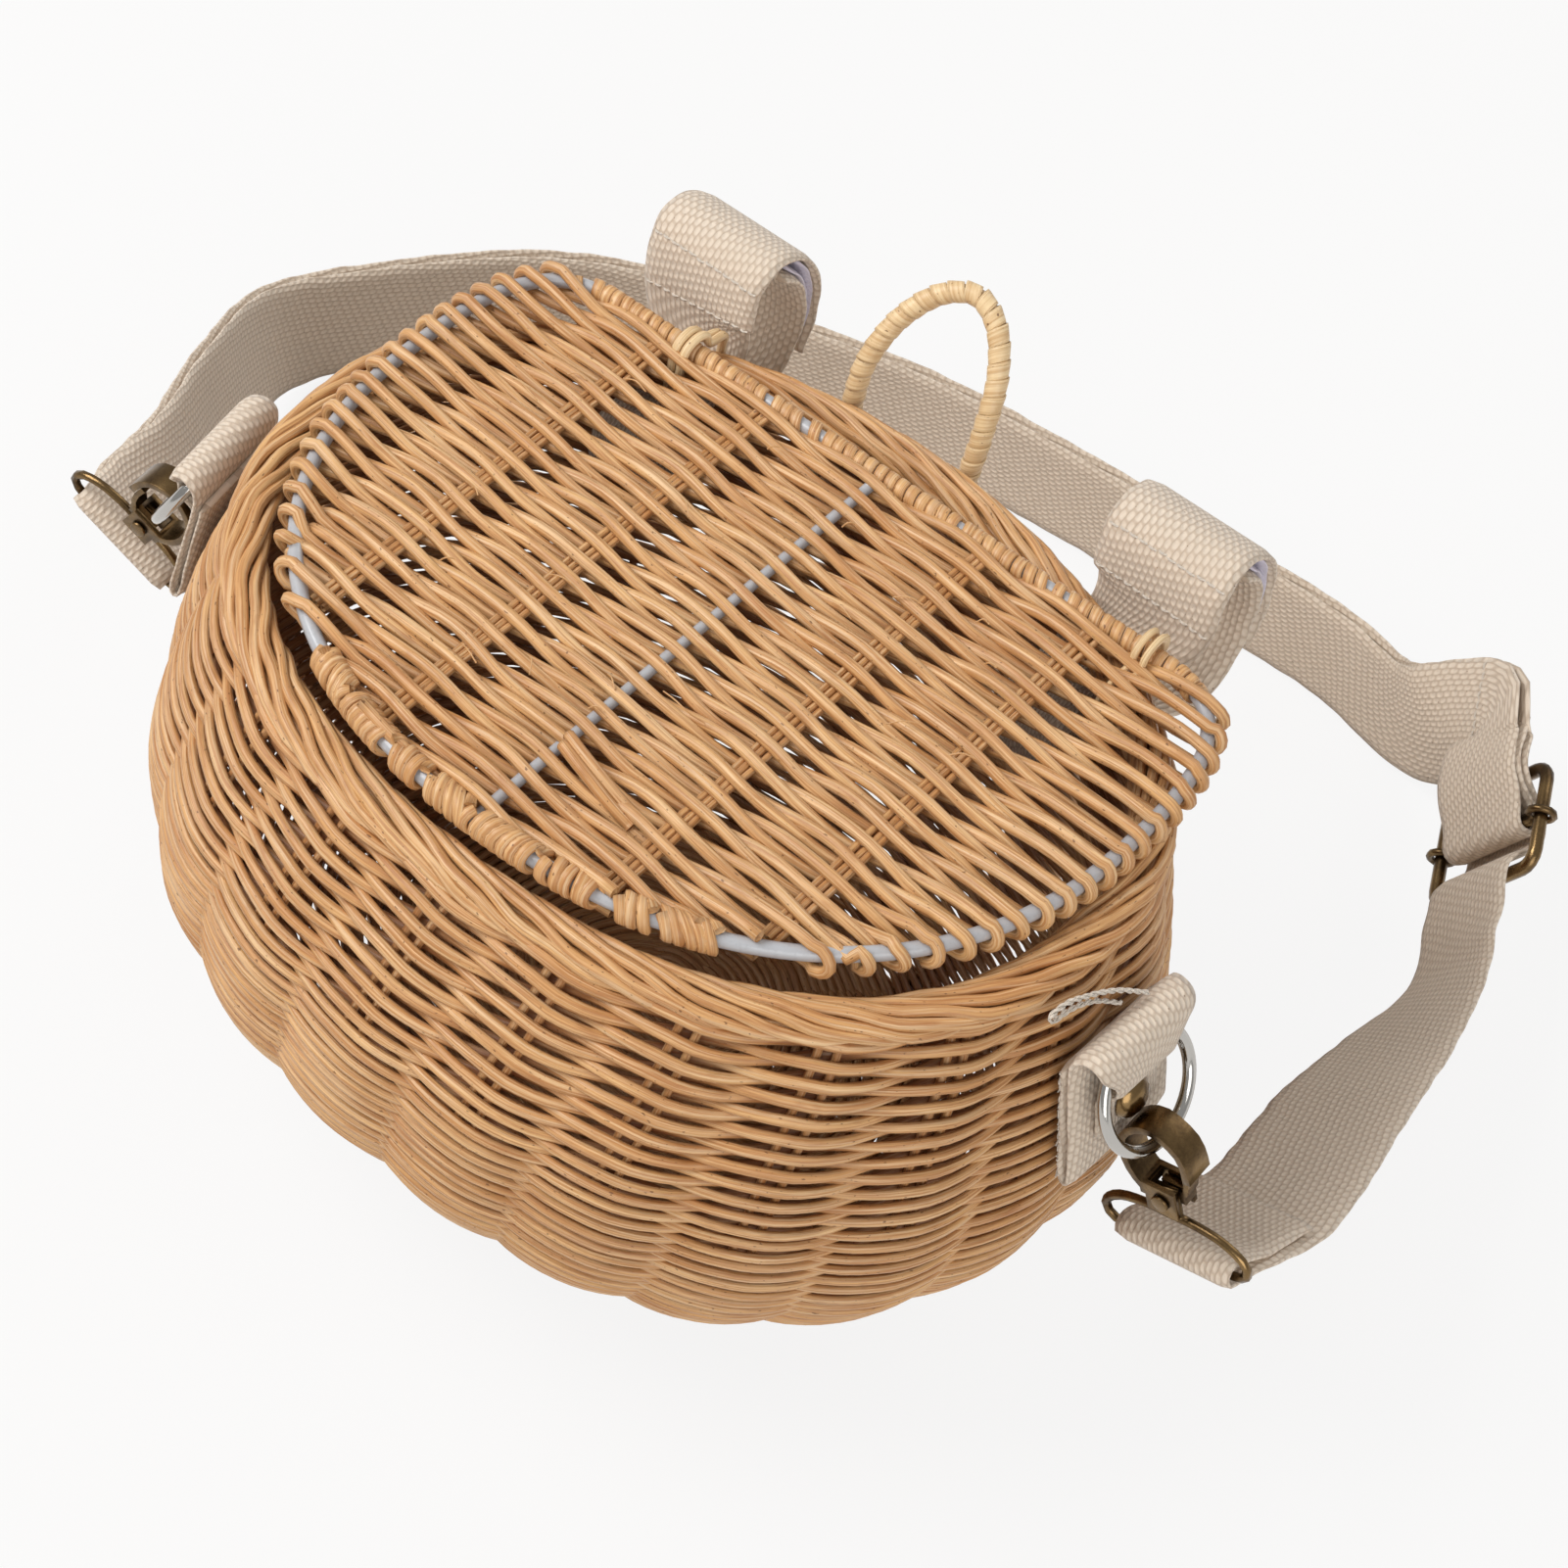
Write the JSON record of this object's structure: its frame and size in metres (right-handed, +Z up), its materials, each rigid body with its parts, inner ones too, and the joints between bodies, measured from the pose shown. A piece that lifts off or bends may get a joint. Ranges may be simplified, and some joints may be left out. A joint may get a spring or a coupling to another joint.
{
  "type": "bicycle basket",
  "caption": "Half-round wicker handlebar basket with a hinged woven lid, webbing bar loops and a clip-on webbing shoulder strap.",
  "frame": {"origin": "centre of the flat underside of the woven base, on the floor", "axes": "+Z up, +Y to the back where the lid hinges and the handlebar loops are, +X to the right seen from the front"},
  "size_m": [0.4547, 0.3684, 0.2033],
  "materials": {
    "rattan": "peeled rattan core, satin",
    "pale_cane": "flat cane binding, semi-gloss",
    "coated_wire": "grey-white coated wire, satin",
    "cotton": "heavy cotton webbing, matt",
    "hook_tape": "hook-and-loop tape, matt",
    "brass": "antique brass, worn",
    "chrome": "polished"
  },
  "bodies": {
    "basket": {"woven_wall": "rattan", "woven_base": "rattan", "rim_border": "rattan", "body_stake_01": "rattan", "body_stake_02": "rattan", "body_stake_03": "rattan", "body_stake_04": "rattan", "body_stake_05": "rattan", "body_stake_06": "rattan", "body_stake_07": "rattan", "body_stake_08": "rattan", "body_stake_09": "rattan", "body_stake_10": "rattan", "body_stake_11": "rattan", "body_stake_12": "rattan", "body_stake_13": "rattan", "body_stake_14": "rattan", "body_stake_15": "rattan", "body_stake_16": "rattan", "body_stake_17": "rattan", "body_stake_18": "rattan", "body_stake_19": "rattan", "body_stake_20": "rattan", "body_stake_21": "rattan", "hinge_tie_left": "pale_cane", "hinge_tie_right": "pale_cane", "hanging_loop": "pale_cane", "handlebar_strap_left": "cotton", "hook_tape_left": "hook_tape", "loop_tape_left": "hook_tape", "side_tab_left": "cotton", "tab_rivet_left": "brass", "handlebar_strap_right": "cotton", "hook_tape_right": "hook_tape", "loop_tape_right": "hook_tape", "side_tab_right": "cotton", "tab_rivet_right": "brass", "slider_bar": "brass", "shoulder_strap": "cotton"},
    "lid": {"lid_frame_wire": "coated_wire", "lid_center_bar": "coated_wire", "lid_stake_1": "rattan", "lid_stake_2": "rattan", "lid_stake_3": "rattan", "lid_stake_4": "rattan", "lid_weave": "rattan", "lid_back_wrap": "pale_cane", "lid_front_wrap": "pale_cane"},
    "slider": {"slider_frame": "brass"},
    "ring_left": {"tab_ring_left": "chrome"},
    "wire_loop_left": {"clasp_loop_left": "brass"},
    "claw_left": {"clasp_claw_left": "brass", "clasp_pin_left": "brass"},
    "gate_left": {"clasp_gate_left": "brass"},
    "ring_right": {"tab_ring_right": "chrome"},
    "wire_loop_right": {"clasp_loop_right": "brass"},
    "claw_right": {"clasp_claw_right": "brass", "clasp_pin_right": "brass"},
    "gate_right": {"clasp_gate_right": "brass"}
  },
  "joints": [
    {"name": "lid_hinge", "type": "hinge", "parent": "basket", "child": "lid", "pos_m": [0, 0.058, 0.1738], "axis": [-1, 0, 0], "range_deg": [0, 110]},
    {"name": "ring_swing_left", "type": "hinge", "parent": "basket", "child": "ring_left", "pos_m": [-0.14105, -0.039, 0.14902], "axis": [0.1909, -0.9816, 0], "range_deg": [-4, 6]},
    {"name": "clasp_tilt_left", "type": "hinge", "parent": "basket", "child": "wire_loop_left", "pos_m": [-0.17724, -0.04147, 0.08987], "axis": [-0.8315, -0.1291, 0.5403], "range_deg": [-3, 3]},
    {"name": "claw_pivot_left", "type": "hinge", "parent": "wire_loop_left", "child": "claw_left", "pos_m": [-0.16634, -0.04236, 0.10642], "axis": [-0.12, 0.9914, 0.053], "range_deg": [-10, 6]},
    {"name": "gate_press_left", "type": "hinge", "parent": "claw_left", "child": "gate_left", "pos_m": [-0.16634, -0.04236, 0.10642], "axis": [-0.12, 0.9914, 0.053], "range_deg": [0, 25], "stiffness_Nm_per_rad": 0.02, "springref_deg": -20.05},
    {"name": "ring_swing_right", "type": "hinge", "parent": "basket", "child": "ring_right", "pos_m": [0.14344, -0.02182, 0.14896], "axis": [0.069, 0.9976, 0], "range_deg": [-4, 6]},
    {"name": "clasp_tilt_right", "type": "hinge", "parent": "basket", "child": "wire_loop_right", "pos_m": [0.17205, -0.02227, 0.08585], "axis": [0.9373, -0.03, 0.3471], "range_deg": [-3, 3]},
    {"name": "claw_pivot_right", "type": "hinge", "parent": "wire_loop_right", "child": "claw_right", "pos_m": [0.16516, -0.02196, 0.10446], "axis": [-0.011, -0.9983, -0.057], "range_deg": [-10, 2]},
    {"name": "gate_press_right", "type": "hinge", "parent": "claw_right", "child": "gate_right", "pos_m": [0.16516, -0.02196, 0.10446], "axis": [-0.011, -0.9983, -0.057], "range_deg": [0, 25], "stiffness_Nm_per_rad": 0.02, "springref_deg": -20.05},
    {"name": "slider_rock", "type": "hinge", "parent": "basket", "child": "slider", "pos_m": [0.153, 0.187, 0.038], "axis": [0.4711, 0, 0.8821], "range_deg": [-2.5, 2.5]}
  ]
}
